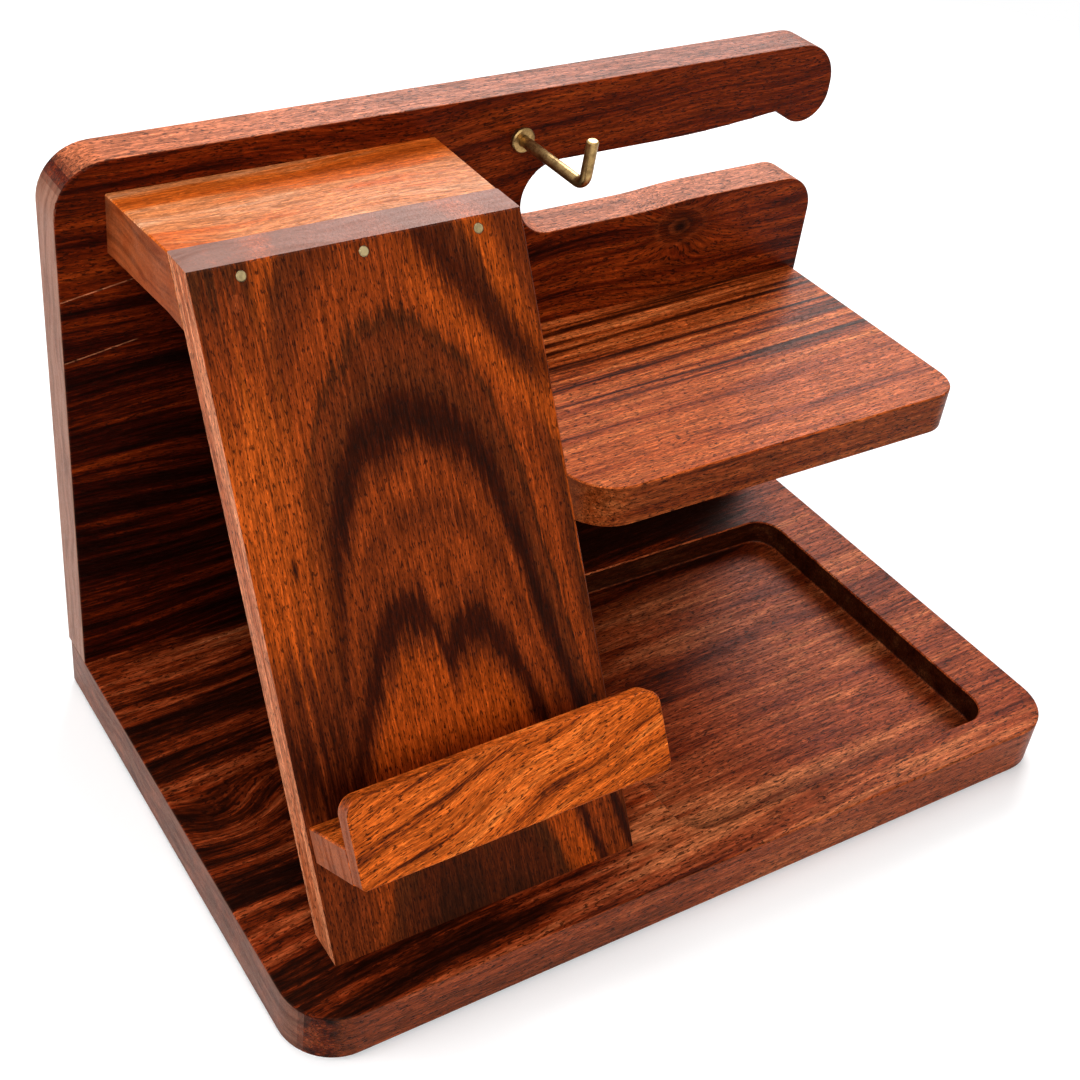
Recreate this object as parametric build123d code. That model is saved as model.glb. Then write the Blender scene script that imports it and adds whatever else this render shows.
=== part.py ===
from build123d import *
import os
from math import cos, radians, sin, tan

# A wooden bedside docking station: a base board with a tray recess, a back panel whose upper edge
# runs on as a watch arm over an open slot, an inclined phone rest with a ledge and lip, a shelf,
# and a brass key hook. Millimetres. X to the right, Y to the back, Z up, origin under the middle.

# ---- base board ----
base_width = 270.8
base_depth = 170.5
base_thickness = 16.5
base_front_radius = 16.0
base_rear_radius = 3.0
pad_height = 2.0
pad_recess = 1.0
pad_radius = 6.0
pad_inset = 22.0

# ---- tray recess ----
tray_left = 131.0
tray_right_rim = 19.6
tray_front_rim = 12.0
tray_back_rim = 44.0
tray_depth = 9.2
tray_radius = 8.4
tray_floor_radius = 1.2

# ---- back panel, x from its left edge and z from the underside of the base ----
panel_right_gap = 4.3
panel_thickness = 14.5
panel_top = 184.3
panel_radius = 15.0
arm_right_gap = 2.7
arm_nose_radius = 14.0
arm_stop_radius = 9.8
arm_stop_bottom = 158.0
arm_stop_slope = 32.0
arm_under_root = 160.5
arm_under_tip = 163.2
slot_end_x = 158.6
slot_radius = 12.1
arm_curve_share = 0.355
lobe_rise = 1.4
lobe_rise_start_share = 0.3
lobe_rise_end_share = 0.585
lobe_radius = 13.0

# ---- phone rest ----
rest_left = 16.8
rest_width = 96.4
backrest_thickness = 10.6
backrest_lean = 30.28
backrest_foot_y = 16.3
block_height = 17.5
block_left_flare = 2.6
block_right_flare = 0.8
rest_top = 175.1
ledge_height = 29.4
ledge_tilt = 0.7
ledge_thickness = 10.2
ledge_depth = 22.4
ledge_width = 94.8
lip_thickness = 6.0
lip_height = 23.6
lip_top_radius = 4.6
lip_low_right_radius = 2.6
lip_low_left_radius = 1.2

# ---- shelf ----
shelf_left = 120.0
shelf_right_gap = 7.4
shelf_depth = 87.6
shelf_thickness = 14.0
shelf_top = 103.5
shelf_left_radius = 16.0
shelf_right_radius = 11.0

# ---- key hook ----
hook_x = 143.9
hook_z = 169.6
hook_reach = 33.2
hook_rise = 14.2
hook_radius = 1.75
hook_bend_radius = 4.0
hook_lean = 5.0
hook_depth = 10.0
rosette_radius = 3.9
rosette_thickness = 1.6

# ---- brass pins through the top of the backrest ----
pin_radius = 1.4
pin_drop = 3.2
pin_spacing = 34.3
pin_length = 22.0
pin_proud = 0.25

# ---- hidden joinery ----
dowel_radius = 3.0
dowel_length = 24.0
slim_dowel_radius = 2.5
slim_dowel_length = 18.0
dowel_fit = 0.1
dowel_end_gap = 0.5
dowel_in_panel = 10.0
dowel_in_backrest = 8.0
panel_dowel_inset = 46.0
shelf_dowel_spacing = 48.0
block_dowel_spacing = 56.0
ledge_dowel_spacing = 34.0
foot_dowel_spacing = 52.0
screw_radius = 2.0
screw_head_radius = 4.0
screw_length = 40.0
screw_head_sink = 3.0
screw_inset = 17.0
screw_fit = 0.1

# ---- eased edges, and the reach within which an edge counts as lying on a face ----
soft_edge = 0.6
fine_edge = 0.4
reach = 0.01

# ---- places that follow from the sizes above ----
base_bottom = pad_height - pad_recess
base_top = base_bottom + base_thickness
left_x = -base_width / 2
front_y = -base_depth / 2
tray_width = base_width - tray_left - tray_right_rim
tray_length = base_depth - tray_front_rim - tray_back_rim
tray_x = left_x + tray_left + tray_width / 2
tray_y = front_y + tray_front_rim + tray_length / 2
panel_width = base_width - panel_right_gap
panel_mid_x = left_x + panel_width / 2
panel_back_y = base_depth / 2
panel_front_y = panel_back_y - panel_thickness
panel_mid_y = panel_back_y - panel_thickness / 2
rest_centre_x = left_x + rest_left + rest_width / 2
rest_top_z = base_bottom + rest_top
block_bottom_z = rest_top_z - block_height
foot_y = front_y + backrest_foot_y
lean = radians(backrest_lean)
backrest_run = backrest_thickness / cos(lean)
shelf_width = base_width - shelf_left - shelf_right_gap
shelf_top_z = base_bottom + shelf_top
shelf_mid_z = shelf_top_z - shelf_thickness / 2
shelf_centre_x = left_x + shelf_left + shelf_width / 2
hook_place = (left_x + hook_x, panel_front_y, base_bottom + hook_z)

# The backrest's front face: local x along the width, local y up the slope, z out of the wood.
rest_plane = Plane(
    origin=(rest_centre_x, foot_y, base_top),
    x_dir=(1, 0, 0),
    z_dir=(0, -cos(lean), sin(lean)),
)


def slope_y(z):
    """Y of the backrest's front face at the height z."""
    return foot_y + (z - base_top) * tan(lean)


def rod(start, direction, radius, length):
    """A round bar from start along direction."""
    place = Plane(origin=start, z_dir=direction)
    return extrude(place * Circle(radius), length)


def dowel_hole(centre, direction, radius, length):
    """Drilling for a dowel: a little wider and longer than the dowel itself."""
    step = Vector(*direction).normalized()
    start = Vector(*centre) - step * (length / 2 + dowel_end_gap)
    return rod(start, step, radius + dowel_fit, length + 2 * dowel_end_gap)


def dowel(centre, direction, radius, length):
    """A beech dowel with chamfered ends, its middle at centre."""
    step = Vector(*direction).normalized()
    bar = rod(Vector(*centre) - step * (length / 2), step, radius, length)
    rims = bar.edges().filter_by(GeomType.CIRCLE)
    return chamfer(rims, fine_edge)


def drilled(body, places, direction, radius, length):
    for place in places:
        body -= dowel_hole(place, direction, radius, length)
    return body


# The middle of the ledge's back face, turned by the small tilt it is glued on with.
ledge_mid = ledge_height + ledge_thickness / 2
ledge_place = rest_plane * Pos(0, ledge_mid, 0) * Rot(0, 0, ledge_tilt)


# ---- where the hidden dowels and screws sit ----
along_y = (0, 1, 0)
along_z = (0, 0, 1)
up_slope = (0, sin(lean), cos(lean))
out_of_rest = (0, -cos(lean), sin(lean))
wall_dowel_y = panel_front_y + dowel_in_panel - dowel_length / 2
panel_dowel_places = [
    (panel_mid_x + side * (panel_width / 2 - panel_dowel_inset), panel_mid_y, base_top)
    for side in (-1, 1)
]
screw_xs = [panel_mid_x + side * (panel_width / 2 - screw_inset) for side in (-1, 0, 1)]
shelf_dowel_places = [
    (shelf_centre_x + step * shelf_dowel_spacing, wall_dowel_y, shelf_mid_z)
    for step in (-1, 0, 1)
]
block_dowel_places = [
    (rest_centre_x + side * block_dowel_spacing / 2, wall_dowel_y, rest_top_z - block_height / 2)
    for side in (-1, 1)
]
ledge_dowel_out = slim_dowel_length / 2 - dowel_in_backrest
ledge_dowel_places = [
    (ledge_place * Pos(step * ledge_dowel_spacing, 0, ledge_dowel_out)).position
    for step in (-1, 0, 1)
]
foot_dowel_places = [
    (rest_centre_x + side * foot_dowel_spacing / 2, foot_y + backrest_run / 2, base_top)
    for side in (-1, 1)
]


def base_board():
    outline = Rectangle(base_width, base_depth)
    outline = fillet(outline.vertices().group_by(Axis.Y)[0], base_front_radius)
    outline = fillet(outline.vertices().group_by(Axis.Y)[-1], base_rear_radius)
    board = extrude(Pos(0, 0, base_bottom) * outline, base_thickness)
    rims = board.edges().group_by(Axis.Z)
    board = fillet(rims[-1], soft_edge)
    board = chamfer(board.edges().group_by(Axis.Z)[0], fine_edge)
    mouth = RectangleRounded(tray_width, tray_length, tray_radius)
    tray = extrude(Pos(tray_x, tray_y, base_top - tray_depth) * mouth, tray_depth)
    tray = fillet(tray.edges().group_by(Axis.Z)[0], tray_floor_radius)
    board -= tray
    mouth_edges = [
        edge for edge in board.edges().group_by(Axis.Z)[-1]
        if abs(edge.center().X - tray_x) < tray_width / 2 + reach
        and abs(edge.center().Y - tray_y) < tray_length / 2 + reach
    ]
    board = chamfer(mouth_edges, fine_edge)
    for spot in pad_spots():
        board -= extrude(Pos(spot[0], spot[1], base_bottom) * Circle(pad_radius + dowel_fit), pad_recess)
    board = drilled(board, panel_dowel_places, along_z, dowel_radius, dowel_length)
    board = drilled(board, foot_dowel_places, up_slope, slim_dowel_radius, slim_dowel_length)
    for x in screw_xs:
        board -= screw_hole(x)
    return board


def pad_spots():
    side = base_width / 2 - pad_inset
    end = base_depth / 2 - pad_inset
    return [(-side, -end), (side, -end), (-side, end), (side, end)]


def pad(spot):
    disc = extrude(Pos(spot[0], spot[1], 0) * Circle(pad_radius), pad_height)
    return chamfer(disc.edges().group_by(Axis.Z)[0], fine_edge)


def wood_screw(x, fit=0.0):
    """A countersunk wood screw driven up through the base into the panel; fit widens it all round."""
    head_z = base_bottom + screw_head_sink
    cone_height = screw_head_radius - screw_radius
    cone = Cone(screw_head_radius + fit, screw_radius + fit, cone_height)
    shank = rod((x, panel_mid_y, head_z), along_z, screw_radius + fit, screw_length + fit)
    return shank + Pos(x, panel_mid_y, head_z + cone_height / 2) * cone


def screw_hole(x):
    """The drilling for a screw, with the counterbore its head is sunk into."""
    mouth = rod((x, panel_mid_y, base_bottom), along_z, screw_head_radius + screw_fit, screw_head_sink)
    return wood_screw(x, screw_fit) + mouth


def panel_profile():
    """The panel's outline seen from the front: x from its left edge, z from the base's underside."""
    foot = base_thickness
    arm_reach = panel_width - arm_right_gap
    slot_length = arm_reach - slot_end_x
    curve_x = slot_end_x + arm_curve_share * slot_length
    rise_start_x = slot_end_x + lobe_rise_start_share * slot_length
    rise_end_x = slot_end_x + lobe_rise_end_share * slot_length
    nose_x = arm_reach - arm_nose_radius
    nose_z = panel_top - arm_nose_radius
    stop_x = arm_reach - arm_stop_radius
    stop_z = arm_stop_bottom + arm_stop_radius
    slope = radians(arm_stop_slope)
    stop_end = (stop_x - arm_stop_radius * sin(slope), stop_z - arm_stop_radius * cos(slope))
    notch_x = stop_end[0] - (arm_under_tip - stop_end[1]) / tan(slope)
    slot_z = arm_under_root - slot_radius
    slot_low = slot_z - slot_radius
    lobe_top = slot_low + lobe_rise
    lobe_x = panel_width - lobe_radius
    lobe_z = lobe_top - lobe_radius
    rise_mid = ((rise_start_x + rise_end_x) / 2, slot_low + lobe_rise / 2)
    half = radians(45)
    edges = [
        Line((0, foot), (0, panel_top - panel_radius)),
        ThreePointArc(
            (0, panel_top - panel_radius),
            (panel_radius * (1 - cos(half)), panel_top - panel_radius * (1 - sin(half))),
            (panel_radius, panel_top),
        ),
        Line((panel_radius, panel_top), (nose_x, panel_top)),
        ThreePointArc(
            (nose_x, panel_top),
            (nose_x + arm_nose_radius * cos(half), nose_z + arm_nose_radius * sin(half)),
            (arm_reach, nose_z),
        ),
        Line((arm_reach, nose_z), (arm_reach, stop_z)),
        ThreePointArc(
            (arm_reach, stop_z),
            (stop_x + arm_stop_radius * cos(half), stop_z - arm_stop_radius * sin(half)),
            stop_end,
        ),
        Line(stop_end, (notch_x, arm_under_tip)),
        TangentArc((curve_x, arm_under_root), (notch_x, arm_under_tip), tangent=(1, 0)),
        Line((curve_x, arm_under_root), (slot_end_x, arm_under_root)),
        ThreePointArc(
            (slot_end_x, arm_under_root), (slot_end_x - slot_radius, slot_z), (slot_end_x, slot_low)
        ),
        Line((slot_end_x, slot_low), (rise_start_x, slot_low)),
        TangentArc((rise_start_x, slot_low), rise_mid, tangent=(1, 0)),
        TangentArc((rise_end_x, lobe_top), rise_mid, tangent=(-1, 0)),
        Line((rise_end_x, lobe_top), (lobe_x, lobe_top)),
        ThreePointArc(
            (lobe_x, lobe_top),
            (lobe_x + lobe_radius * cos(half), lobe_z + lobe_radius * sin(half)),
            (panel_width, lobe_z),
        ),
        Line((panel_width, lobe_z), (panel_width, foot)),
        Line((panel_width, foot), (0, foot)),
    ]
    return make_face(Wire(edges))


def back_panel():
    front = Plane(origin=(left_x, panel_front_y, base_bottom), x_dir=(1, 0, 0), z_dir=(0, -1, 0))
    board = extrude(front * panel_profile(), -panel_thickness)
    rims = [
        edge for edge in board.edges()
        if edge.center().Z > base_top + reach
        and abs(abs(edge.center().Y - panel_mid_y) - panel_thickness / 2) < reach
    ]
    board = fillet(rims, soft_edge)
    board = drilled(board, panel_dowel_places, along_z, dowel_radius, dowel_length)
    board = drilled(board, shelf_dowel_places, along_y, dowel_radius, dowel_length)
    board = drilled(board, block_dowel_places, along_y, dowel_radius, dowel_length)
    for x in screw_xs:
        board -= screw_hole(x)
    bore_length = hook_depth + dowel_end_gap
    board -= rod(hook_place, along_y, hook_radius + dowel_fit, bore_length)
    return board


def rest_slice(corners, width):
    """A solid across the phone rest's middle from a list of (y, z) corners."""
    side = Plane(origin=(rest_centre_x, 0, 0), x_dir=(0, 1, 0), z_dir=(1, 0, 0))
    face = make_face(Polyline(*corners, close=True))
    return extrude(side * face, width / 2, both=True)


def phone_backrest():
    top_y = slope_y(rest_top_z)
    board = rest_slice([
        (foot_y, base_top), (foot_y + backrest_run, base_top),
        (top_y + backrest_run, rest_top_z), (top_y, rest_top_z),
    ], rest_width)
    long_edges = board.edges().filter_by(Axis((0, 0, 0), up_slope))
    top_front_edge = board.edges().filter_by(Axis.X).sort_by(Axis.Y)[-2]
    board = chamfer(long_edges + [top_front_edge], fine_edge)
    board = drilled(board, foot_dowel_places, up_slope, slim_dowel_radius, slim_dowel_length)
    board = drilled(board, ledge_dowel_places, out_of_rest, slim_dowel_radius, slim_dowel_length)
    for pin in pin_shapes(dowel_fit):
        board -= pin
    return board


def stand_block():
    """The block that carries the backrest's head, a little wider where it meets the panel."""
    front_low = slope_y(block_bottom_z) + backrest_run
    front_top = slope_y(rest_top_z) + backrest_run
    left = rest_centre_x - rest_width / 2
    right = rest_centre_x + rest_width / 2
    block = rest_slice([
        (front_low, block_bottom_z), (panel_front_y, block_bottom_z),
        (panel_front_y, rest_top_z), (front_top, rest_top_z),
    ], rest_width + 2 * block_left_flare)
    plan = Polyline(
        (left, front_low), (left, front_top), (left - block_left_flare, panel_front_y),
        (right + block_right_flare, panel_front_y), (right, front_top), (right, front_low), close=True
    )
    block &= extrude(Pos(0, 0, block_bottom_z) * make_face(plan), block_height)
    long_edges = [
        edge for edge in block.edges()
        if abs(edge.tangent_at(0.5).X) < 0.5 and abs(edge.tangent_at(0.5).Z) < reach
    ]
    block = chamfer(long_edges, fine_edge)
    block = drilled(block, block_dowel_places, along_y, dowel_radius, dowel_length)
    for pin in pin_shapes(dowel_fit):
        block -= pin
    return block


def phone_ledge():
    bar = ledge_place * Pos(0, 0, ledge_depth / 2) * Box(ledge_width, ledge_thickness, ledge_depth)
    ends = bar.edges().filter_by(Axis((0, 0, 0), out_of_rest))
    bar = chamfer(ends, fine_edge)
    return drilled(bar, ledge_dowel_places, out_of_rest, slim_dowel_radius, slim_dowel_length)


def phone_lip():
    mid = ledge_place * Pos(0, (lip_height - ledge_thickness) / 2, ledge_depth)
    face = Rectangle(ledge_width, lip_height)
    low, high = face.vertices().group_by(Axis.Y)
    face = fillet(high, lip_top_radius)
    left_corner = face.vertices().group_by(Axis.Y)[0].sort_by(Axis.X)[0]
    face = fillet(left_corner, lip_low_left_radius)
    right_corner = face.vertices().group_by(Axis.Y)[0].sort_by(Axis.X)[-1]
    face = fillet(right_corner, lip_low_right_radius)
    plate = extrude(face, lip_thickness)
    plate = chamfer(plate.edges().group_by(Axis.Z)[-1] + plate.edges().group_by(Axis.Z)[0], fine_edge)
    return mid * plate


def shelf():
    outline = Rectangle(shelf_width, shelf_depth)
    front_left = outline.vertices().group_by(Axis.Y)[0].sort_by(Axis.X)[0]
    outline = fillet(front_left, shelf_left_radius)
    front_right = outline.vertices().group_by(Axis.Y)[0].sort_by(Axis.X)[-1]
    outline = fillet(front_right, shelf_right_radius)
    centre = Pos(shelf_centre_x, panel_front_y - shelf_depth / 2, shelf_mid_z)
    board = centre * extrude(outline, shelf_thickness / 2, both=True)
    rims = [
        edge for edge in board.edges()
        if edge.center().Y < panel_front_y - reach
        and abs(abs(edge.center().Z - shelf_mid_z) - shelf_thickness / 2) < reach
    ]
    board = chamfer(rims, fine_edge)
    return drilled(board, shelf_dowel_places, along_y, dowel_radius, dowel_length)


def key_hook():
    """A brass rod let into the panel, out level and then up, leaning a little away from the panel."""
    tip = (0, -hook_reach - hook_rise * tan(radians(hook_lean)), hook_rise)
    path = FilletPolyline((0, hook_depth, 0), (0, -hook_reach, 0), tip, radius=hook_bend_radius)
    start = Plane(origin=(0, hook_depth, 0), z_dir=(0, -1, 0))
    bar = sweep(start * Circle(hook_radius), path=path)
    rims = bar.edges().filter_by(GeomType.CIRCLE).sort_by(Axis.Z)[-1]
    bar = chamfer(rims, fine_edge)
    return Pos(*hook_place) * bar


def hook_rosette():
    disc = rod(hook_place, (0, -1, 0), rosette_radius, rosette_thickness)
    front_rim = disc.edges().sort_by(Axis.Y)[0]
    disc = chamfer(front_rim, fine_edge)
    return disc - rod(hook_place, (0, -1, 0), hook_radius + dowel_fit, rosette_thickness)


def pin_shapes(fit):
    slope_length = (rest_top_z - base_top) / cos(lean)
    pins = []
    for step in (-1, 0, 1):
        head = rest_plane * Pos(step * pin_spacing, slope_length - pin_drop, pin_proud)
        pin = head * extrude(Circle(pin_radius + fit), -(pin_length + pin_proud + fit))
        pins.append(pin)
    return pins


def brass_pins():
    pins = []
    for pin in pin_shapes(0):
        rims = pin.edges().filter_by(GeomType.CIRCLE)
        pins.append(chamfer(rims, pin_proud))
    return Compound(children=pins)


def dowel_set(places, direction, radius, length):
    return Compound(children=[dowel(place, direction, radius, length) for place in places])


nodes = {
    "base_board": base_board(),
    "back_panel": back_panel(),
    "phone_backrest": phone_backrest(),
    "stand_block": stand_block(),
    "phone_ledge": phone_ledge(),
    "phone_lip": phone_lip(),
    "shelf": shelf(),
    "key_hook": key_hook(),
    "hook_rosette": hook_rosette(),
    "backrest_pins": brass_pins(),
    "panel_dowels": dowel_set(panel_dowel_places, along_z, dowel_radius, dowel_length),
    "shelf_dowels": dowel_set(shelf_dowel_places, along_y, dowel_radius, dowel_length),
    "block_dowels": dowel_set(block_dowel_places, along_y, dowel_radius, dowel_length),
    "ledge_dowels": dowel_set(ledge_dowel_places, out_of_rest, slim_dowel_radius, slim_dowel_length),
    "foot_dowels": dowel_set(foot_dowel_places, up_slope, slim_dowel_radius, slim_dowel_length),
    "panel_screws": Compound(children=[wood_screw(x) for x in screw_xs]),
}
pad_names = ("pad_front_left", "pad_front_right", "pad_rear_left", "pad_rear_right")
for name, spot in zip(pad_names, pad_spots()):
    nodes[name] = pad(spot)

os.makedirs("parts", exist_ok=True)
for name, body in nodes.items():
    export_step(body, f"parts/{name}.step")
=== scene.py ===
from math import cos, radians, sin

import bpy
from mathutils import Matrix, Vector


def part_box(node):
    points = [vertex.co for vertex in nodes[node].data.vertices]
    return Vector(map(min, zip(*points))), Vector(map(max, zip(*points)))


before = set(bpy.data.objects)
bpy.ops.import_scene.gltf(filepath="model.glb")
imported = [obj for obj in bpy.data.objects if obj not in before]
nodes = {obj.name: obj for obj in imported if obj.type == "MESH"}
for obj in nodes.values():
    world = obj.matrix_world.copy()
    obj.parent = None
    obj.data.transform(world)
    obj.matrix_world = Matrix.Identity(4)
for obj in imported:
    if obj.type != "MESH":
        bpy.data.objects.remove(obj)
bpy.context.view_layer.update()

# ---- camera, solved from the photograph: metres, radians, and the 1080 pixel frame ----
PHOTO_SIZE = 1080
FOCAL_PX = 1677.44
CENTRE_PX = (429.85, 543.02)
CAMERA_AT = Vector((-0.25968, -0.31283, 0.37655))
YAW = 0.5757
PITCH = 0.6548
ROLL = 0.0914
SENSOR_MM = 36.0

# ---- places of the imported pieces; the phone rest leans back by REST_LEAN ----
REST_LEAN = radians(30.28)
REST_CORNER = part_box("phone_backrest")[0]
SHELF_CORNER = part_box("shelf")[0]

X, Y, Z = Vector((1, 0, 0)), Vector((0, 1, 0)), Vector((0, 0, 1))
UP_SLOPE = Vector((0, sin(REST_LEAN), cos(REST_LEAN)))
MM_PER_METRE = 1000.0

# ---- the hardwood's colours, linear ----
BLACK = (0.009, 0.0016, 0.0006)
DARK = (0.032, 0.0042, 0.0010)
UMBER = (0.055, 0.0115, 0.0026)
EARTH = (0.085, 0.0150, 0.0030)
BROWN = (0.120, 0.0185, 0.0032)
MELLOW = (0.215, 0.0320, 0.0042)
RUST = (0.230, 0.0400, 0.0085)
ORANGE = (0.360, 0.0560, 0.0050)
AMBER = (0.540, 0.1000, 0.0110)
TAN = (0.480, 0.1300, 0.0420)
SALMON = (0.560, 0.1900, 0.0850)

# ---- the oiled finish: a weak, warm sheen; GLINT_* are pale flecks painted as glints ----
SHEEN_LEVEL = 0.042
SHEEN_TINT = (1.0, 0.82, 0.68, 1)
SHEEN_ROUGHNESS = 0.37
PORE_DEPTH_M = 0.00012
SHORT_FIBRE = (0.70, 1.30)
GLINT_SHARE = 0.45
GLINT_TINT = (1.9, 2.1, 2.2)

# ---- the values between which a mask goes from 0 to 1 ----
NOISE_MIDDLE = (0.36, 0.64)
PORE_STEP = (0.57, 0.62)
SPECK_STEP = (0.60, 0.68)
FACING_STEP = (0.70, 0.95)
CUT_STEP = (0.75, 0.95)
LEVEL_STEP = (0.40, 0.80)
EULER = 2.718

# ---- light: the surround is white for the rays that show it, and dim for the rest ----
WORLD_FILL = 0.14
FLOOR_FILL = (0.5, 0.5, 0.5)
FLOOR_SEEN = (0.96, 0.96, 0.96)
FLOOR_GLOW = 0.08
FLOOR_HALF_M = 6.0
FLOOR_WHITE_FROM_MM, FLOOR_WHITE_BY_MM = 450.0, 800.0
LIGHT_TARGET = (0.0, 0.0, 0.08)
SOFTBOXES = (
    # name, place, width, depth (metres), watts
    ("back_softbox", (0.74, 0.82, 0.80), 0.9, 0.55, 17.0),
    ("top_softbox", (-0.1, 0.1, 1.4), 0.8, 0.8, 5.0),
    ("front_softbox", (-0.35, -1.0, 0.75), 0.7, 0.5, 12.0),
    ("left_softbox", (-1.1, 0.2, 0.5), 0.6, 0.6, 8.0),
)


def add_camera():
    """The photograph's camera: place, direction, focal length and image centre."""
    forward = Vector((sin(YAW) * cos(PITCH), cos(YAW) * cos(PITCH), -sin(PITCH)))
    level_right = Vector((cos(YAW), -sin(YAW), 0))
    level_up = level_right.cross(forward)
    right = cos(ROLL) * level_right + sin(ROLL) * level_up
    up = -sin(ROLL) * level_right + cos(ROLL) * level_up
    data = bpy.data.cameras.new("photo_camera")
    data.sensor_width = SENSOR_MM
    data.lens = FOCAL_PX / PHOTO_SIZE * SENSOR_MM
    data.shift_x = (PHOTO_SIZE / 2 - CENTRE_PX[0]) / PHOTO_SIZE
    data.shift_y = (CENTRE_PX[1] - PHOTO_SIZE / 2) / PHOTO_SIZE
    data.clip_start = 0.01
    data.clip_end = 50
    camera = bpy.data.objects.new("photo_camera", data)
    turn = Matrix((right, up, -forward)).transposed().to_4x4()
    camera.matrix_world = Matrix.Translation(CAMERA_AT) @ turn
    bpy.context.scene.collection.objects.link(camera)
    bpy.context.scene.camera = camera


def shows_surround(tree):
    """1 for the rays that show the white surround: camera, glossy and transmission rays."""
    path = tree.nodes.new("ShaderNodeLightPath")
    seen = path.outputs["Is Camera Ray"]
    for kind in ("Is Glossy Ray", "Is Transmission Ray"):
        either = tree.nodes.new("ShaderNodeMath")
        either.operation = "MAXIMUM"
        tree.links.new(seen, either.inputs[0])
        tree.links.new(path.outputs[kind], either.inputs[1])
        seen = either.outputs[0]
    return seen


class Shader:
    """Short names for the shader nodes that the materials below are made of."""

    def __init__(self, name):
        self.material = bpy.data.materials.new(name)
        self.material.use_nodes = True
        self.tree = self.material.node_tree
        self.tree.nodes.clear()
        self.out = self.tree.nodes.new("ShaderNodeOutputMaterial")
        self.bsdf = self.tree.nodes.new("ShaderNodeBsdfPrincipled")
        self.tree.links.new(self.bsdf.outputs[0], self.out.inputs["Surface"])

    def put(self, socket, value):
        """Links another node's output to the socket, or sets a plain value on it."""
        if isinstance(value, bpy.types.NodeSocket):
            self.tree.links.new(value, socket)
        else:
            socket.default_value = value

    def math(self, kind, a, b=0.0):
        n = self.tree.nodes.new("ShaderNodeMath")
        n.operation = kind
        self.put(n.inputs[0], a)
        self.put(n.inputs[1], b)
        return n.outputs[0]

    def plus(self, first, *terms):
        for term in terms:
            first = self.math("ADD", first, term)
        return first

    def minus(self, a, b):
        return self.math("SUBTRACT", a, b)

    def times(self, first, *factors):
        for factor in factors:
            first = self.math("MULTIPLY", first, factor)
        return first

    def vector_math(self, kind, a, b):
        n = self.tree.nodes.new("ShaderNodeVectorMath")
        n.operation = kind
        self.put(n.inputs[0], a)
        self.put(n.inputs[1], b)
        return n.outputs

    def dot(self, a, b):
        return self.vector_math("DOT_PRODUCT", a, b)["Value"]

    def scaled(self, vector, factor):
        n = self.tree.nodes.new("ShaderNodeVectorMath")
        n.operation = "SCALE"
        n.inputs["Scale"].default_value = factor
        self.put(n.inputs[0], vector)
        return n.outputs[0]

    def vector(self, x, y, z):
        n = self.tree.nodes.new("ShaderNodeCombineXYZ")
        for socket, value in zip(n.inputs, (x, y, z)):
            self.put(socket, value)
        return n.outputs[0]

    def noise(self, where, detail=2.0, roughness=0.5, distortion=0.0):
        n = self.tree.nodes.new("ShaderNodeTexNoise")
        n.inputs["Scale"].default_value = 1.0
        n.inputs["Detail"].default_value = detail
        n.inputs["Roughness"].default_value = roughness
        n.inputs["Distortion"].default_value = distortion
        self.put(n.inputs["Vector"], where)
        return n.outputs[0]

    def centred(self, noise, width):
        """The noise about zero instead of 0.5, stretched to the width."""
        return self.times(self.minus(noise, 0.5), width)

    def spread(self, value, low, high, to_low=0.0, to_high=1.0):
        """A smooth step from to_low at low to to_high at high."""
        n = self.tree.nodes.new("ShaderNodeMapRange")
        n.interpolation_type = "SMOOTHSTEP"
        self.put(n.inputs["Value"], value)
        self.put(n.inputs["From Min"], low)
        self.put(n.inputs["From Max"], high)
        self.put(n.inputs["To Min"], to_low)
        self.put(n.inputs["To Max"], to_high)
        return n.outputs[0]

    def ramp(self, value, stops):
        n = self.tree.nodes.new("ShaderNodeValToRGB")
        n.color_ramp.interpolation = "EASE"
        while len(n.color_ramp.elements) < len(stops):
            n.color_ramp.elements.new(0.5)
        for element, (place, colour) in zip(n.color_ramp.elements, stops):
            element.position = place
            element.color = (*colour, 1)
        self.put(n.inputs[0], value)
        return n.outputs[0]

    def mix(self, share, a, b, kind="MIX"):
        n = self.tree.nodes.new("ShaderNodeMix")
        n.data_type = "RGBA"
        n.blend_type = kind
        self.put(n.inputs[0], share)
        self.put(n.inputs[6], (*a, 1) if isinstance(a, tuple) else a)
        self.put(n.inputs[7], (*b, 1) if isinstance(b, tuple) else b)
        return n.outputs[2]

    def shaded(self, colour, shade):
        """The colour times the shade."""
        return self.mix(1.0, colour, self.vector(shade, shade, shade), "MULTIPLY")

    def bump(self, height, strength, distance):
        n = self.tree.nodes.new("ShaderNodeBump")
        n.inputs["Strength"].default_value = strength
        n.inputs["Distance"].default_value = distance
        self.put(n.inputs["Height"], height)
        self.put(self.bsdf.inputs["Normal"], n.outputs[0])

    def position_mm(self, origin=(0, 0, 0)):
        n = self.tree.nodes.new("ShaderNodeTexCoord")
        return self.scaled(self.vector_math("SUBTRACT", n.outputs["Object"], origin)[0], MM_PER_METRE)

    def true_normal(self):
        n = self.tree.nodes.new("ShaderNodeNewGeometry")
        return n.outputs["True Normal"]


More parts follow.
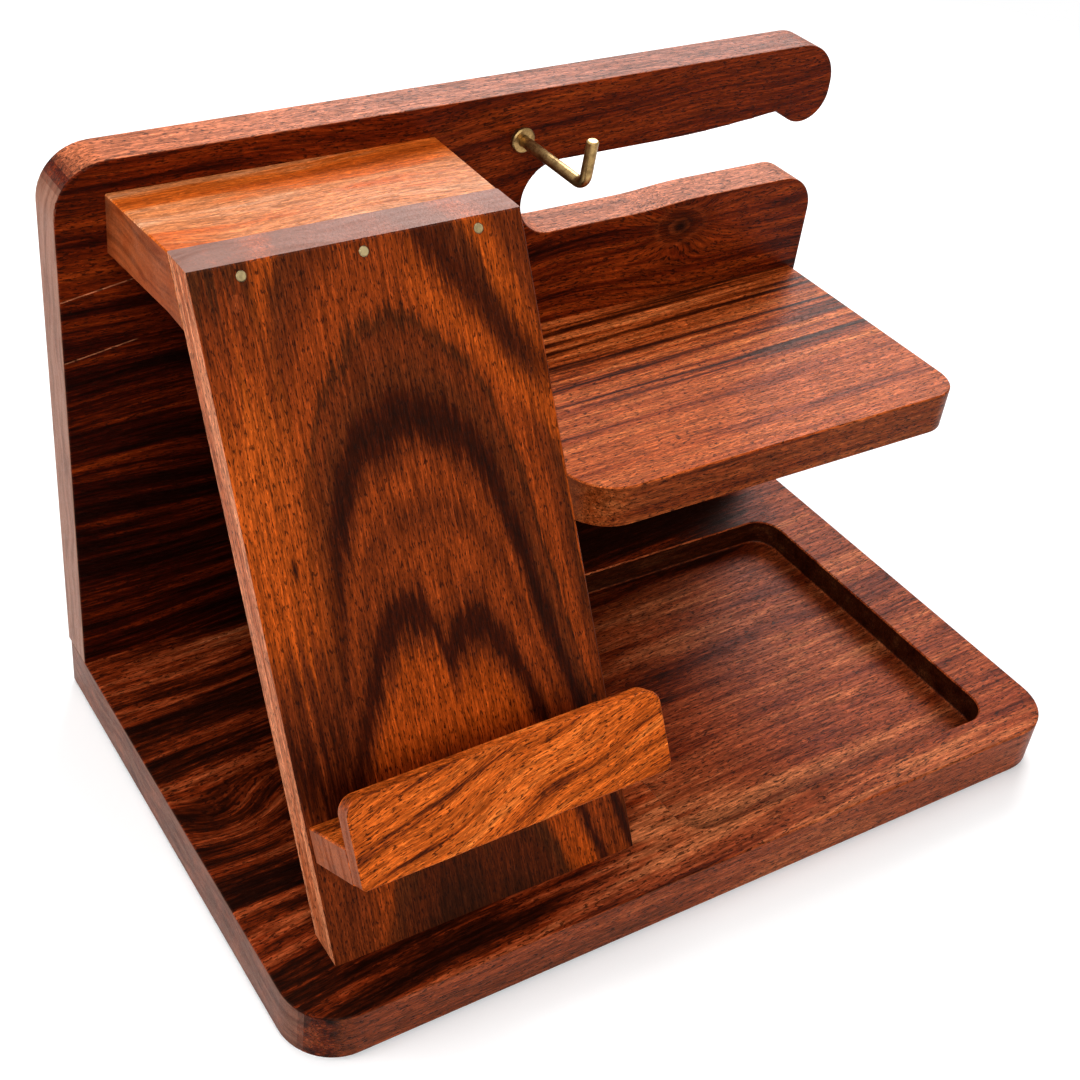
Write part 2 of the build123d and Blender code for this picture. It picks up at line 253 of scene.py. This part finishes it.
class Wood(Shader):
    """Oiled hardwood: a, b and c are millimetres along the grain, across it and through the board."""

    def __init__(self, name, along, across, seed, origin=(0, 0, 0)):
        super().__init__(name)
        self.along = along
        self.seed = seed
        place = self.position_mm(origin)
        self.a = self.dot(place, tuple(along))
        self.b = self.dot(place, tuple(across))
        self.c = self.dot(place, tuple(along.cross(across)))

    def grain(self, per_a, per_b, detail=2.0, roughness=0.5, distortion=0.0, b=None, offset=0.0):
        """Noise stretched along the grain: per_a and per_b are waves per millimetre."""
        b = self.b if b is None else b
        x = self.plus(self.times(self.a, per_a), self.seed + offset)
        y = self.times(b, per_b)
        z = self.times(self.c, per_b)
        return self.noise(self.vector(x, y, z), detail, roughness, distortion)

    def flowing(self, sway, per_a=0.006, per_b=0.012, b=None):
        """The distance across the grain, bent by sway millimetres."""
        b = self.b if b is None else b
        return self.plus(b, self.centred(self.grain(per_a, per_b, detail=1.0, offset=31.0), 2 * sway))

    def slanted(self, b, slope):
        """The distance b across the grain, falling by slope millimetres for each along it."""
        return self.minus(b, self.times(self.a, slope))

    def spot(self, a, b, half_a, half_b, sharpness=1.0):
        """1 at the point (a, b) of the board's face, fading out past half_a and half_b from it."""
        x = self.math("DIVIDE", self.minus(self.a, a), half_a)
        y = self.math("DIVIDE", self.minus(self.b, b), half_b)
        far = self.plus(self.times(x, x), self.times(y, y))
        return self.math("POWER", EULER, self.times(far, -sharpness))

    def lifted(self, band, *spots):
        """The band raised at each spot: its place along and across, its half sizes, and the rise."""
        for *place, rise in spots:
            band = self.plus(band, self.times(self.spot(*place), rise))
        return band

    def line(self, value, place, half):
        """1 where value is at place, falling to 0 at half away from it."""
        away = self.math("ABSOLUTE", self.minus(value, place))
        return self.spread(away, 0.0, half, 1.0, 0.0)

    def within(self, value, low, high, soft):
        """1 between low and high, falling to 0 over soft outside them."""
        rise = self.spread(value, low - soft, low)
        return self.times(rise, self.spread(value, high, high + soft, 1.0, 0.0))

    def facing(self, direction):
        """1 on the faces that look along direction."""
        return self.spread(self.dot(self.true_normal(), tuple(direction)), *FACING_STEP)

    def upright_faces(self):
        """1 on the faces that stand upright, 0 on those that look up or down."""
        level = self.math("ABSOLUTE", self.dot(self.true_normal(), tuple(Z)))
        return self.spread(level, *LEVEL_STEP, 1.0, 0.0)

    def darker(self, colour, share, keep):
        """The colour times keep, where share is 1."""
        return self.shaded(colour, self.minus(1.0, self.times(share, 1.0 - keep)))

    def end_grain(self, dark, pale):
        """A face cut across the fibres: thin growth lines along the board's width, and dots."""
        bends_per_mm, bend_width, bend_mm = 0.02, 6.0, 3.0
        lines_per_a, lines_per_b, lines_per_c = 0.10, 0.05, 0.45
        bend = self.noise(self.vector(self.seed, self.times(self.b, bends_per_mm), 4.0), detail=1.0)
        layer = self.plus(self.c, self.times(self.centred(bend, bend_width), bend_mm))
        x = self.times(self.a, lines_per_a)
        y = self.times(self.b, lines_per_b)
        z = self.times(layer, lines_per_c)
        lines = self.noise(self.vector(x, y, z), detail=4.0, roughness=0.62, distortion=0.4)
        dots = self.grain(1.3, 1.3, detail=2.0, roughness=0.5, offset=19.0)
        face = self.mix(self.spread(lines, 0.30, 0.66), dark, pale)
        return self.mix(self.spread(dots, *SPECK_STEP, 0.0, 0.45), face, dark)

    def finished(self, colour, b, end_dark, end_pale, fine=0.36, pores=0.80, end=0.85, end_mask=None):
        """Fibres, open pores, painted glints, end grain, bump and an oiled sheen over the board's own figure.
        """
        fibre = self.grain(0.070, 1.1, detail=5.0, roughness=0.66, b=b, offset=5.0)
        long_fibre = self.spread(fibre, *NOISE_MIDDLE, 1.0 - fine, 1.0 + fine)
        short_fibre = self.grain(0.30, 1.9, detail=4.0, roughness=0.7, b=b, offset=61.0)
        short_fibre = self.spread(short_fibre, *NOISE_MIDDLE, *SHORT_FIBRE)
        colour = self.shaded(colour, self.times(long_fibre, short_fibre))
        pore = self.spread(self.grain(0.48, 2.2, detail=2.0, roughness=0.5, b=b, offset=11.0), *PORE_STEP)
        colour = self.mix(self.times(pore, pores), colour, BLACK)
        # painted glints: pale flecks in the colour stand in for tiny highlights
        glint = self.spread(self.grain(0.55, 2.6, detail=1.0, roughness=0.4, b=b, offset=47.0), *SPECK_STEP)
        paler = self.mix(1.0, colour, GLINT_TINT, "MULTIPLY")
        colour = self.mix(self.times(glint, GLINT_SHARE), colour, paler)
        cut = self.math("ABSOLUTE", self.dot(self.true_normal(), tuple(self.along)))
        cut = self.spread(cut, *CUT_STEP, 0.0, end)
        if end_mask is not None:
            cut = self.times(cut, end_mask)
        colour = self.mix(cut, colour, self.end_grain(end_dark, end_pale))
        self.put(self.bsdf.inputs["Base Color"], colour)
        self.bsdf.inputs["Specular IOR Level"].default_value = SHEEN_LEVEL
        self.bsdf.inputs["Specular Tint"].default_value = SHEEN_TINT
        uneven = self.spread(fibre, 0.3, 0.7, SHEEN_ROUGHNESS + 0.07, SHEEN_ROUGHNESS - 0.05)
        self.put(self.bsdf.inputs["Roughness"], uneven)
        self.bump(self.minus(self.times(fibre, 0.6), pore), 0.35, PORE_DEPTH_M)
        return self.material


def base_wood():
    """Streaks along the width. Painted shade darkens it to the left, under the shelf and behind the rest,
    makes the tray's walls nearly black, and darkens the tray floor near its walls and at its rear left; the
    right is paler as painted sheen.
    """
    tray_x, tray_y, tray_floor_z, tray_edge = (-5.0, 116.0), (-74.0, 42.0), (8.6, 9.6), 0.8
    shelf_x, behind_tray_y, shelf_fade = (-25.0, 92.0), (28.0, 50.0), 36.0
    swirl_spot, swirl_push = (-123.0, -10.0, 21.0, 13.0), 11.0
    front_fan = (4.0, -64.0, 36.0, 17.0, 0.16)
    front_left = (-68.0, -80.0, 45.0, 14.0, 0.040)
    left_edge = (-114.0, -16.0, 18.0, 26.0, 0.035)
    shade_behind_rest = (5.0, 5.0, 40.0, 45.0, 0.035)
    front_corner = (-130.0, -80.0, 14.0, 10.0)
    w = Wood("base_wood", X, Y, seed=3.0)
    swirl = w.times(w.spot(*swirl_spot), swirl_push)
    b = w.flowing(9.0, b=w.slanted(w.plus(w.b, swirl), 0.05))

    streaks = w.grain(0.0100, 0.15, detail=5.0, roughness=0.74, b=b)
    streaks = w.plus(w.centred(streaks, w.spread(w.a, -40.0, 50.0, 1.0, 0.65)), 0.5)
    patches = w.centred(w.grain(0.018, 0.045, detail=3.0, roughness=0.6, offset=55.0), 0.16)
    mottle = w.centred(w.grain(0.09, 0.22, detail=4.0, roughness=0.7, distortion=0.8, offset=141.0), 0.10)
    lit = w.lifted(patches, front_fan, front_left, left_edge)
    # painted shade under the shelf and behind the rest, on the top faces only
    shade_under_shelf = w.times(w.within(w.a, *shelf_x, shelf_fade), w.spread(w.b, *behind_tray_y, 0.0, 0.25))
    painted_shade = w.lifted(w.times(shade_under_shelf, w.facing(Z)), shade_behind_rest)
    # darker to the left as painted shade from the panel and the rest, paler to the right as painted sheen
    left_to_right = w.spread(w.a, -90.0, 70.0, -0.062, 0.065)
    band = w.plus(streaks, w.plus(lit, mottle), w.minus(left_to_right, painted_shade))
    colour = w.ramp(band, [
        (0.34, BLACK), (0.41, DARK), (0.48, (0.12, 0.014, 0.0026)), (0.56, (0.24, 0.041, 0.010)), (0.70, TAN),
    ])

    in_tray = w.times(w.within(w.a, *tray_x, tray_edge), w.within(w.b, *tray_y, tray_edge))
    # painted shade: the tray's walls nearly black
    colour = w.darker(colour, w.times(in_tray, w.upright_faces()), 0.10)
    front = w.times(w.facing(-Y), w.spread(w.b, -83.0, -84.5, 0.0, 0.6))
    colour = w.mix(front, colour, (0.21, 0.044, 0.013))
    tray_floor = w.spread(w.c, *tray_floor_z, 1.0, 0.0)
    # painted shade on the tray floor along its right and back walls
    shade_near_wall = w.math("MAXIMUM", w.spread(w.a, 98.0, 114.0), w.spread(w.b, 16.0, 40.0))
    colour = w.darker(colour, w.times(shade_near_wall, tray_floor, in_tray), 0.55)
    # painted shade on the tray floor at its rear left, under the shelf
    shade_rear_left = w.times(tray_floor, in_tray, w.spread(w.a, 60.0, 90.0, 1.0, 0.0), w.spread(w.b, -28.0, 5.0))
    colour = w.darker(colour, shade_rear_left, 0.68)
    corner = w.times(w.upright_faces(), w.spot(*front_corner))
    colour = w.darker(colour, corner, 0.55)
    outer_ends = w.spread(w.math("ABSOLUTE", w.a), 122.0, 126.0)
    return w.finished(colour, b, (0.11, 0.040, 0.024), (0.25, 0.110, 0.072), end=0.75, end_mask=outer_ends)


def panel_wood():
    """Dark streaks along the width, flowing round a knot under the watch slot, painted shade low on the left
    behind the rest, and a top edge painted paler as light and sheen.
    """
    knot, knot_core = (75.3, 129.9), (75.9, 129.5)
    bend_half, halo_half, core_half = (14.0, 8.0), (10.5, 7.2), (3.9, 2.9)
    rings_half, rings_end = (10.5, 7.0), (9.0, 6.2)
    under_slot = (80.0, 110.0, 45.0, 28.0, 0.055)
    arm_left = (-15.0, 165.0, 60.0, 14.0, 0.045)
    w = Wood("panel_wood", X, Z, seed=14.0)
    round_knot = w.times(w.minus(w.b, knot[1]), w.spot(*knot, *bend_half), 1.8)
    b = w.flowing(10.0, 0.008, 0.014, b=w.plus(w.b, round_knot))

    band = w.grain(0.0075, 0.19, detail=5.0, roughness=0.72, b=w.slanted(b, 0.05))
    band = w.centred(band, w.spread(w.b, 120.0, 155.0, 0.95, 0.62))
    band = w.plus(band, w.spread(w.a, -20.0, 60.0, 0.492, 0.530))
    band = w.lifted(band, under_slot, arm_left)
    # painted shade low on the left, where the rest shades the panel
    panel_shade_behind_rest = w.times(w.spread(w.a, -40.0, -90.0), w.spread(w.b, 150.0, 120.0))
    band = w.minus(band, w.times(panel_shade_behind_rest, 0.085))
    colour = w.ramp(band, [
        (0.34, (0.006, 0.0007, 0.0003)), (0.42, (0.022, 0.0020, 0.0006)), (0.50, (0.082, 0.0078, 0.0010)),
        (0.59, (0.155, 0.0190, 0.0022)), (0.74, (0.300, 0.0460, 0.0050)),
    ])

    colour = w.mix(w.times(w.spot(*knot, *halo_half), 0.95), colour, DARK)
    wobble = w.centred(w.grain(0.12, 0.2, detail=3.0, offset=171.0), 6.0)
    rings = w.math("SINE", w.plus(w.times(w.spot(*knot, *rings_half, 0.7), 15.0), wobble))
    colour = w.mix(w.times(w.spread(rings, 0.1, 1.0, 0.0, 0.8), w.spot(*knot, *rings_end)), colour, RUST)
    colour = w.mix(w.spot(*knot_core, *core_half), colour, BLACK)

    # painted light and sheen: the top edge paler, less so to the right
    right_end = w.spread(w.b, 140.0, 160.0, 1.0, 0.36)
    paler_left = w.spread(w.a, -90.0, 60.0, 1.0, right_end)
    top = w.times(w.facing(Z), w.spread(band, 0.38, 0.54, 0.45, 0.95), paler_left)
    colour = w.mix(top, colour, (0.52, 0.145, 0.060))
    from_left_edge, scratch_slope, scratch_half_width = w.plus(w.a, 134.7), 0.155, 0.32
    for scratch_height in (146.6, 127.5):
        rising = w.minus(w.b, w.times(from_left_edge, scratch_slope))
        scratch = w.line(rising, scratch_height, scratch_half_width)
        scratch = w.times(scratch, w.spread(w.a, -116.0, -113.0, 0.6, 0.0))
        colour = w.mix(w.times(scratch, w.facing(-Y)), colour, SALMON)
    return w.finished(colour, b, (0.20, 0.078, 0.045), (0.37, 0.175, 0.115))


def shelf_wood():
    """Crisp streaks and long dark lines near the panel, a calm paler front, and painted shade on the upright
    faces.
    """
    dark_lines = (
        # place across the grain, half width, depth
        (28.0, 2.2, 0.09), (43.5, 1.8, 0.10), (52.0, 1.4, 0.06), (61.0, 1.8, 0.09), (75.0, 1.8, 0.09),
    )
    w = Wood("shelf_wood", X, Y, seed=25.0, origin=(0, SHELF_CORNER.y, 0))
    b = w.flowing(3.0, b=w.slanted(w.b, 0.035))
    band = w.grain(0.0055, 0.24, detail=5.0, roughness=0.72, b=b)
    band = w.centred(band, w.spread(w.b, 22.0, 58.0, 0.70, 1.45))
    band = w.plus(band, 0.5, w.spread(w.b, 25.0, 70.0, 0.055, -0.01))
    for place, half, depth in dark_lines:
        band = w.minus(band, w.times(w.line(b, place, half), depth))
    colour = w.ramp(band, [
        (0.35, DARK), (0.42, BROWN), (0.47, (0.28, 0.041, 0.006)), (0.54, (0.44, 0.083, 0.016)),
        (0.70, (0.62, 0.155, 0.038)),
    ])
    # painted shade: the front and end faces darker than the top
    colour = w.darker(colour, w.upright_faces(), 0.46)
    right_end = w.spread(w.a, 60.0, 125.0)
    colour = w.darker(colour, right_end, 0.84)
    return w.finished(colour, b, (0.10, 0.026, 0.010), (0.22, 0.062, 0.026), end=0.6)


def block_wood():
    """The stand block: broad orange and pale streaks with few pores."""
    w = Wood("block_wood", X, Y, seed=36.0)
    b = w.flowing(8.0, 0.012, 0.03)
    band = w.grain(0.008, 0.09, detail=4.0, roughness=0.6, b=b)
    colour = w.ramp(band, [
        (0.30, ORANGE), (0.42, AMBER), (0.52, (0.56, 0.17, 0.05)), (0.68, (0.62, 0.30, 0.16)),
    ])
    return w.finished(colour, b, (0.11, 0.018, 0.005), (0.27, 0.056, 0.016), fine=0.22, pores=0.3, end=0.9)


def bar_wood(name, seed):
    """The ledge's and the lip's orange wood, with dark streaks that slant across the bar."""
    w = Wood(name, X, UP_SLOPE, seed=seed)
    b = w.slanted(w.flowing(5.0, 0.02, 0.03), 0.28)
    band = w.grain(0.012, 0.20, detail=5.0, roughness=0.70, b=b)
    colour = w.ramp(band, [
        (0.33, DARK), (0.385, BROWN), (0.44, (0.36, 0.060, 0.006)), (0.53, (0.50, 0.090, 0.010)),
        (0.66, (0.66, 0.15, 0.023)),
    ])
    return w.finished(colour, b, (0.18, 0.045, 0.019), (0.33, 0.112, 0.060), end=0.8)


def backrest_wood():
    """A flat-sawn board: soft dark arches nested up its length, and straight streaks near its left edge."""
    board_length, arch_middle, arches_end, heart_end = 184.0, 49.0, 240.0, 120.0
    left_lobe, right_lobe, right_lobe_drop = 44.0, 58.0, 10.0
    orange_diagonal, dark_diagonal, diagonal_slope = (254.0, 12.0), (270.0, 14.0), 1.35
    knot_streak, plug = (105.6, 11.8, 4.5, 1.0), (174.1, 11.0, 2.2, 2.2)
    w = Wood("backrest_wood", UP_SLOPE, X, seed=58.0, origin=tuple(REST_CORNER))
    sway = w.centred(w.grain(0.012, 0.03, detail=2.0), 8.0)
    side = w.plus(w.b, sway)
    ripple = w.centred(w.grain(0.022, 0.075, detail=4.0, roughness=0.6, offset=9.0), 16.0)
    jag = w.centred(w.grain(0.035, 0.85, detail=4.0, roughness=0.7, offset=37.0), 26.0)
    ripple = w.plus(ripple, jag)

    # the arches: curves of equal level, each falling away from the board's middle
    off_middle = w.math("ABSOLUTE", w.minus(side, arch_middle))
    middle = w.spread(w.a, 118.0, 160.0, 0.023, 0.043)
    flanks = w.spread(w.a, 60.0, 150.0, 0.066, 0.040)
    steep = w.times(w.spread(off_middle, 8.0, 34.0, middle, flanks), w.spread(side, 40.0, 58.0, 1.15, 0.92))
    level = w.plus(w.a, w.times(off_middle, off_middle, steep), ripple)
    arches = w.ramp(w.math("DIVIDE", level, arches_end), [
        (0.06, UMBER), (0.20, BROWN), (0.42, MELLOW), (0.465, BROWN), (0.50, MELLOW), (0.525, BROWN),
        (0.55, DARK), (0.57, (0.018, 0.0028, 0.0008)), (0.59, DARK), (0.62, EARTH), (0.665, BROWN),
        (0.684, UMBER), (0.70, MELLOW), (0.75, MELLOW), (0.80, BROWN), (0.86, EARTH), (0.91, ORANGE),
        (1.0, BROWN),
    ])

    # the two-lobed heart inside the lowest arch
    left = w.minus(side, left_lobe)
    left = w.times(left, left, 0.052)
    right = w.minus(side, right_lobe)
    right = w.plus(w.times(right, right, 0.095), right_lobe_drop)
    step = w.spread(side, 45.0, 50.0)
    lobes = w.plus(w.times(left, w.minus(1.0, step)), w.times(right, step))
    inner = w.plus(w.a, lobes, ripple)
    heart = w.ramp(w.math("DIVIDE", inner, heart_end), [
        (0.05, (0.028, 0.0055, 0.0015)), (0.20, (0.060, 0.0095, 0.002)), (0.31, UMBER),
        (0.40, (0.30, 0.044, 0.004)), (0.60, (0.31, 0.046, 0.004)), (0.665, BROWN), (0.70, DARK),
        (0.745, DARK), (0.80, BROWN), (0.86, BROWN), (1.0, MELLOW),
    ])
    colour = w.mix(w.spread(inner, 90.0, 106.0), heart, arches)

    # straight streaks near the left edge, and two diagonal bands at the upper right
    streaks = w.centred(w.grain(0.006, 0.30, detail=4.0, roughness=0.65, offset=71.0), 0.62)
    edge = w.ramp(w.plus(w.math("DIVIDE", w.a, board_length), streaks), [
        (0.10, BROWN), (0.26, DARK), (0.40, BROWN), (0.50, ORANGE), (0.74, (0.36, 0.060, 0.006)),
        (0.86, MELLOW), (0.95, BROWN), (1.0, UMBER),
    ])
    colour = w.mix(w.spread(side, 8.0, 26.0), edge, colour)
    diagonal = w.plus(w.a, w.times(w.b, diagonal_slope), ripple)
    at_right = w.spread(w.b, 54.0, 64.0)
    colour = w.mix(w.times(w.line(diagonal, *orange_diagonal), at_right, 0.75), colour, ORANGE)
    colour = w.mix(w.times(w.line(diagonal, *dark_diagonal), at_right, 0.85), colour, DARK)

    # fine bars, a dark knot streak, a plugged hole, and the left flank: partly paler wood, partly painted
    # light and sheen from the left
    bars = w.spread(w.grain(0.018, 0.55, detail=4.0, roughness=0.65, offset=23.0), 0.38, 0.62, 0.78, 1.15)
    colour = w.shaded(colour, bars)
    colour = w.mix(w.spot(*knot_streak), colour, BLACK)
    plugged = w.spread(w.spot(*plug), 0.30, 0.42)
    colour = w.mix(w.times(plugged, 0.5), colour, RUST)
    pale = w.grain(0.012, 0.35, detail=3.0, roughness=0.6, offset=91.0)
    flank = w.mix(w.spread(pale, 0.38, 0.60), (0.36, 0.085, 0.028), SALMON)
    colour = w.mix(w.facing(-X), colour, flank)
    return w.finished(colour, w.b, (0.42, 0.20, 0.150), (0.56, 0.310, 0.250), end=0.75)


def worn_metal(name, colour, dull, roughness):
    """Rubbed metal: patches of a duller tone, fine scratches and uneven gloss."""
    patches_per_mm, scratches_per_mm, scratch_depth_m = 0.35, 5.0, 0.00003
    s = Shader(name)
    place = s.position_mm()
    patches = s.noise(s.scaled(place, patches_per_mm), detail=4.0, roughness=0.6)
    scratches = s.noise(s.scaled(place, scratches_per_mm), detail=3.0, roughness=0.7)
    s.put(s.bsdf.inputs["Base Color"], s.mix(s.spread(patches, 0.35, 0.65), colour, dull))
    s.put(s.bsdf.inputs["Roughness"], s.spread(scratches, 0.3, 0.7, roughness - 0.06, roughness + 0.14))
    s.bsdf.inputs["Metallic"].default_value = 1.0
    s.bump(scratches, 0.2, scratch_depth_m)
    return s.material


def matte(name, colour, dark, roughness, per_mm):
    """A plain grainy stuff, such as a dowel's beech or a foot pad's rubber."""
    s = Shader(name)
    speckle = s.noise(s.scaled(s.position_mm(), per_mm), detail=4.0, roughness=0.6)
    s.put(s.bsdf.inputs["Base Color"], s.mix(s.spread(speckle, 0.35, 0.65), dark, colour))
    s.bsdf.inputs["Roughness"].default_value = roughness
    s.bsdf.inputs["Specular IOR Level"].default_value = 0.2
    s.bump(speckle, 0.3, 0.0001)
    return s.material


def dress():
    """Gives each CAD node its material."""
    brass = worn_metal("hook_brass", (0.42, 0.27, 0.105), (0.20, 0.12, 0.045), 0.30)
    pin = worn_metal("pin_brass", (0.34, 0.26, 0.13), (0.20, 0.15, 0.075), 0.42)
    steel = worn_metal("screw_steel", (0.50, 0.50, 0.51), (0.36, 0.36, 0.37), 0.34)
    dowel = matte("dowel_wood", (0.62, 0.45, 0.26), (0.44, 0.30, 0.16), 0.6, 1.2)
    rubber = matte("pad_rubber", (0.028, 0.028, 0.028), (0.014, 0.014, 0.014), 0.75, 2.5)
    looks = {
        "base_board": base_wood(), "back_panel": panel_wood(), "phone_backrest": backrest_wood(),
        "stand_block": block_wood(), "phone_ledge": bar_wood("ledge_wood", 47.0),
        "phone_lip": bar_wood("lip_wood", 69.0), "shelf": shelf_wood(), "key_hook": brass,
        "hook_rosette": brass, "backrest_pins": pin, "panel_screws": steel,
    }
    for node in ("panel_dowels", "shelf_dowels", "block_dowels", "ledge_dowels", "foot_dowels"):
        looks[node] = dowel
    for node in ("pad_front_left", "pad_front_right", "pad_rear_left", "pad_rear_right"):
        looks[node] = rubber
    for name, material in looks.items():
        nodes[name].data.materials.clear()
        nodes[name].data.materials.append(material)


def add_floor():
    """A white floor that keeps the object's shadow and fades to plain white away from it."""
    corners = [(x, y, 0) for x, y in ((-1, -1), (1, -1), (1, 1), (-1, 1))]
    mesh = bpy.data.meshes.new("floor")
    mesh.from_pydata([tuple(FLOOR_HALF_M * v for v in corner) for corner in corners], [], [(0, 1, 2, 3)])
    floor = bpy.data.objects.new("floor", mesh)
    bpy.context.scene.collection.objects.link(floor)
    s = Shader("floor_white")
    s.bsdf.inputs["Roughness"].default_value = 1.0
    s.bsdf.inputs["Specular IOR Level"].default_value = 0.0
    seen = shows_surround(s.tree)
    s.put(s.bsdf.inputs["Base Color"], s.mix(seen, FLOOR_FILL, FLOOR_SEEN))
    glow = s.tree.nodes.new("ShaderNodeEmission")
    s.put(glow.inputs["Strength"], s.times(seen, FLOOR_GLOW))
    near = s.tree.nodes.new("ShaderNodeAddShader")
    s.tree.links.new(s.bsdf.outputs[0], near.inputs[0])
    s.tree.links.new(glow.outputs[0], near.inputs[1])
    place = s.position_mm()
    far = s.spread(s.dot(place, place), FLOOR_WHITE_FROM_MM**2, FLOOR_WHITE_BY_MM**2)
    white = s.tree.nodes.new("ShaderNodeEmission")
    blend = s.tree.nodes.new("ShaderNodeMixShader")
    s.put(blend.inputs[0], s.times(seen, far))
    s.tree.links.new(near.outputs[0], blend.inputs[1])
    s.tree.links.new(white.outputs[0], blend.inputs[2])
    s.tree.links.new(blend.outputs[0], s.out.inputs["Surface"])
    mesh.materials.append(s.material)


def add_light(name, place, width, depth, power):
    data = bpy.data.lights.new(name, "AREA")
    data.shape = "RECTANGLE"
    data.size = width
    data.size_y = depth
    data.energy = power
    light = bpy.data.objects.new(name, data)
    light.location = place
    light.rotation_euler = (Vector(LIGHT_TARGET) - Vector(place)).to_track_quat("-Z", "Y").to_euler()
    bpy.context.scene.collection.objects.link(light)


def add_world():
    world = bpy.data.worlds.new("studio")
    world.use_nodes = True
    bpy.context.scene.world = world
    tree = world.node_tree
    background = tree.nodes["Background"]
    strength = tree.nodes.new("ShaderNodeMapRange")
    strength.inputs["To Min"].default_value = WORLD_FILL
    strength.inputs["To Max"].default_value = 1.0
    tree.links.new(shows_surround(tree), strength.inputs["Value"])
    tree.links.new(strength.outputs[0], background.inputs["Strength"])
    background.inputs["Color"].default_value = (1, 1, 1, 1)


add_camera()
add_world()
for softbox in SOFTBOXES:
    add_light(*softbox)
add_floor()
dress()

bpy.context.scene.view_settings.view_transform = "Standard"
